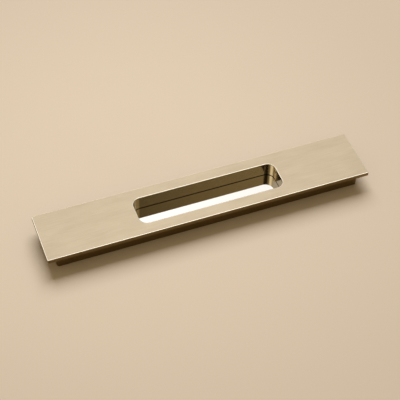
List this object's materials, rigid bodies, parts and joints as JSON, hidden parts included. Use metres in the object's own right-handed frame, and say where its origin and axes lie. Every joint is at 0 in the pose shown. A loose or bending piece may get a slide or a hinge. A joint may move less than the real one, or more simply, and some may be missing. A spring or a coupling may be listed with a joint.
{
  "type": "concealed cabinet handle",
  "caption": "Flush cabinet pull: a flat brushed face plate with a rounded finger slot, on a cored body that drops into a routed pocket and is screwed from behind.",
  "frame": {"origin": "middle of the back of the body, which is the plane that the part stands on", "axes": "+X along the face plate, +Y across it, +Z out of the face"},
  "size_m": [0.24, 0.0416, 0.0134],
  "materials": {
    "brushed_champagne": "zinc casting, brushed along its length and plated in champagne nickel",
    "polished_steel": "mirror-polished stainless sheet",
    "screw_steel": "bright zinc-plated steel"
  },
  "bodies": {
    "root": {"handle_body": "brushed_champagne", "floor_plate": "polished_steel", "floor_screws": "screw_steel"}
  },
  "joints": []
}
